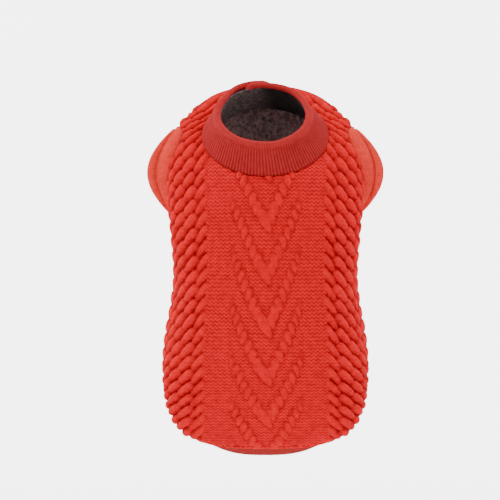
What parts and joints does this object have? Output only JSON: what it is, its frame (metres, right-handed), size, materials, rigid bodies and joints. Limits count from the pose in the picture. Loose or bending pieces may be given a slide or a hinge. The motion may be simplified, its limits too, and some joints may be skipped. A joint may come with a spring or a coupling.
{
  "type": "dog sweater",
  "caption": "Hollow, filled-out cable-knit dog sweater with a folded rib collar, cap sleeves, a rib hem and a fleece lining.",
  "frame": {"origin": "centre of the neck seam, where the collar meets the body", "axes": "+Z towards the wearer's head, -Y towards the wearer's back, which faces the viewer, and -X towards the wearer's left"},
  "size_m": [0.2176, 0.1307, 0.3394],
  "materials": {
    "cable_knit": "matt chunky cable knit",
    "rib_knit": "matt one by one rib",
    "fine_knit": "matt fine knit",
    "fleece": "matt brushed fleece"
  },
  "bodies": {
    "root": {"back_panel": "cable_knit", "belly_panel": "cable_knit", "collar": "rib_knit", "cuff_left": "rib_knit", "cuff_right": "rib_knit", "hem_band": "rib_knit", "sleeve_left": "fine_knit", "sleeve_right": "fine_knit", "lining_back": "fleece", "lining_belly": "fleece", "lining_collar": "fleece"}
  },
  "joints": []
}
